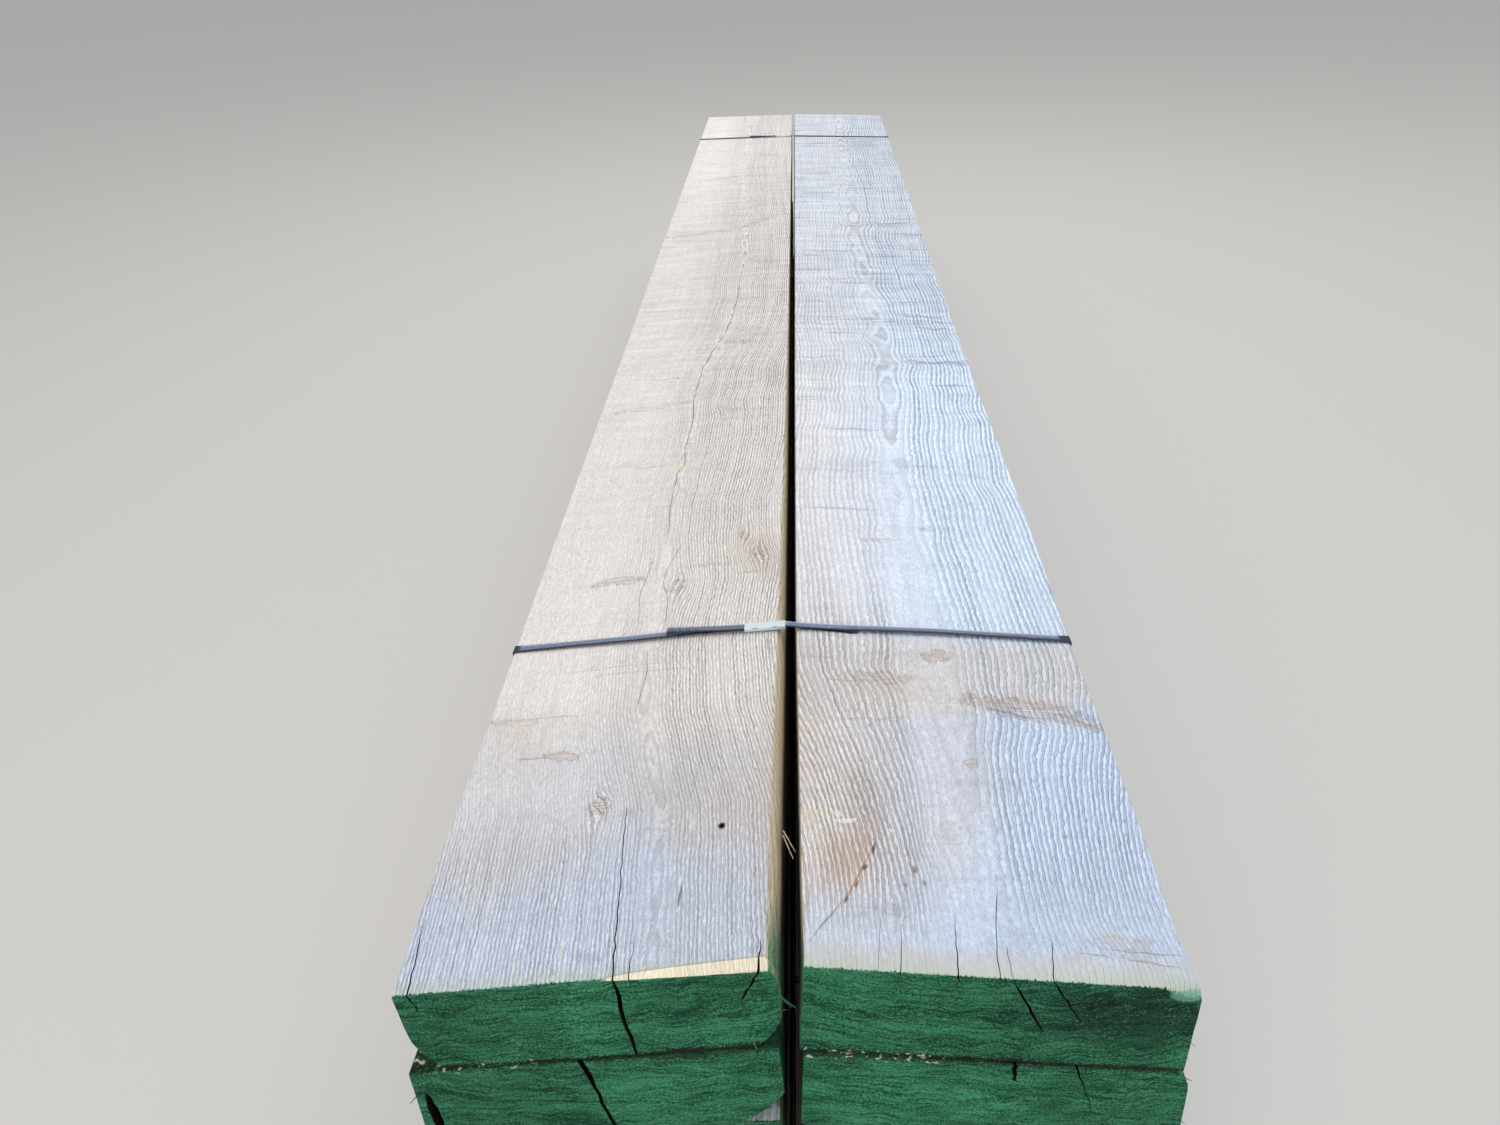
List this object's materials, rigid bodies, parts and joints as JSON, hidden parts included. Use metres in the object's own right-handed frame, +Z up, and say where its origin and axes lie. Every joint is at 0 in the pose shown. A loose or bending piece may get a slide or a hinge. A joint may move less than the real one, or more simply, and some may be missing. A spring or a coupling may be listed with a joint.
{
  "type": "stack of rough-cut boards",
  "caption": "Two columns of heavy rough-sawn timber boards stacked tight side by side, ends painted, held as one bundle by two flat steel straps with crimped seals.",
  "frame": {"origin": "on the floor under the middle of the stack, centre of the footprint of its bounding box", "axes": "+Y along the boards, away from the painted ends; +X across the stack, to the right seen from the painted ends; +Z up"},
  "size_m": [0.6448, 3.6806, 0.614],
  "materials": {
    "left_board_wood": "rough-sawn, weathered warm grey",
    "right_board_wood": "rough-sawn, weathered cool grey",
    "strap_steel": "glossy slate-blue coated steel strapping",
    "seal_steel": "bright zinc-coated"
  },
  "bodies": {
    "root": {"board_left_1": "left_board_wood", "board_left_2": "left_board_wood", "board_left_3": "left_board_wood", "board_left_4": "left_board_wood", "board_left_5": "left_board_wood", "board_left_6": "left_board_wood", "board_right_1": "right_board_wood", "board_right_2": "right_board_wood", "board_right_3": "right_board_wood", "board_right_4": "right_board_wood", "board_right_5": "right_board_wood", "board_right_6": "right_board_wood", "strap_near": "strap_steel", "strap_far": "strap_steel", "strap_seal_near": "seal_steel", "strap_seal_far": "seal_steel"}
  },
  "joints": []
}
